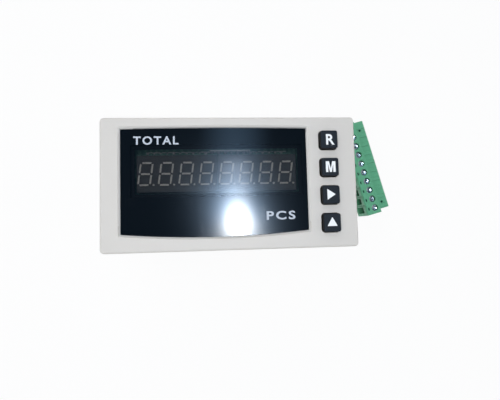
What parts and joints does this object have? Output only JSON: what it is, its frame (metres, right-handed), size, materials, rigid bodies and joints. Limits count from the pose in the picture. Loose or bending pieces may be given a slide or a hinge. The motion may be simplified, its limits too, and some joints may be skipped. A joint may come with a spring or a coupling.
{
  "type": "panel counter",
  "caption": "Panel-mounted counter with a bevelled frame, dark window over seven-segment digits, a column of push keys, a deep case and a loose pluggable terminal block.",
  "frame": {"origin": "middle of the panel seat, in the plane of the bezel's back face", "axes": "+X right and +Y up across the front as it is read, +Z out of the panel towards the reader"},
  "size_m": [0.1452, 0.0671, 0.0825],
  "materials": {
    "bezel_plastic": "fine moulded texture, warm light grey",
    "case_plastic": "moulded texture, light grey",
    "window_plastic": "glossy smoked acrylic",
    "key_rubber": "satin black",
    "switch_plastic": "moulded black",
    "led_plastic": "printed dark face",
    "led_diffuser": "milky diffuser",
    "board_laminate": "green solder resist",
    "core_steel": "stacked laminations",
    "coil_tape": "yellow winding tape",
    "part_plastic": "black moulded components",
    "terminal_plastic": "green polyamide",
    "contact_metal": "tinned brass",
    "screw_steel": "bright plated steel",
    "clip_plastic": "black polyamide"
  },
  "bodies": {
    "housing": {"front_bezel": "bezel_plastic", "display_window": "window_plastic", "switch_bodies": "switch_plastic", "led_module_left": "led_plastic", "led_module_right": "led_plastic", "led_segments_left": "led_diffuser", "led_segments_right": "led_diffuser", "display_board": "board_laminate", "board_link": "part_plastic", "main_board": "board_laminate", "transformer_core": "core_steel", "transformer_coil": "coil_tape", "filter_capacitors": "part_plastic", "output_relay": "part_plastic", "control_chip": "part_plastic", "input_couplers": "part_plastic", "terminal_header": "terminal_plastic", "header_pins": "contact_metal", "case_sleeve": "case_plastic", "rear_cover": "case_plastic", "cover_screws": "screw_steel", "plug_body": "terminal_plastic", "plug_screws": "screw_steel", "plug_clamps": "contact_metal", "plug_contacts": "contact_metal"},
    "reset_key": {"key_reset": "key_rubber", "plunger_reset": "switch_plastic"},
    "mode_key": {"key_mode": "key_rubber", "plunger_mode": "switch_plastic"},
    "shift_key": {"key_shift": "key_rubber", "plunger_shift": "switch_plastic"},
    "up_key": {"key_up": "key_rubber", "plunger_up": "switch_plastic"},
    "left_clip": {"clip_left": "clip_plastic"},
    "right_clip": {"clip_right": "clip_plastic"}
  },
  "joints": [
    {"name": "reset_press", "type": "slide", "parent": "housing", "child": "reset_key", "axis": [0, 0, -1], "range_m": [0, 0.0005], "stiffness_N_per_m": 1200, "springref_m": -0.0005},
    {"name": "mode_press", "type": "slide", "parent": "housing", "child": "mode_key", "axis": [0, 0, -1], "range_m": [0, 0.0005], "stiffness_N_per_m": 1200, "springref_m": -0.0005},
    {"name": "shift_press", "type": "slide", "parent": "housing", "child": "shift_key", "axis": [0, 0, -1], "range_m": [0, 0.0005], "stiffness_N_per_m": 1200, "springref_m": -0.0005},
    {"name": "up_press", "type": "slide", "parent": "housing", "child": "up_key", "axis": [0, 0, -1], "range_m": [0, 0.0005], "stiffness_N_per_m": 1200, "springref_m": -0.0005},
    {"name": "left_clip_slide", "type": "slide", "parent": "housing", "child": "left_clip", "axis": [0, 0, 1], "range_m": [-0.027, 0.015]},
    {"name": "right_clip_slide", "type": "slide", "parent": "housing", "child": "right_clip", "axis": [0, 0, 1], "range_m": [-0.027, 0.015]}
  ]
}
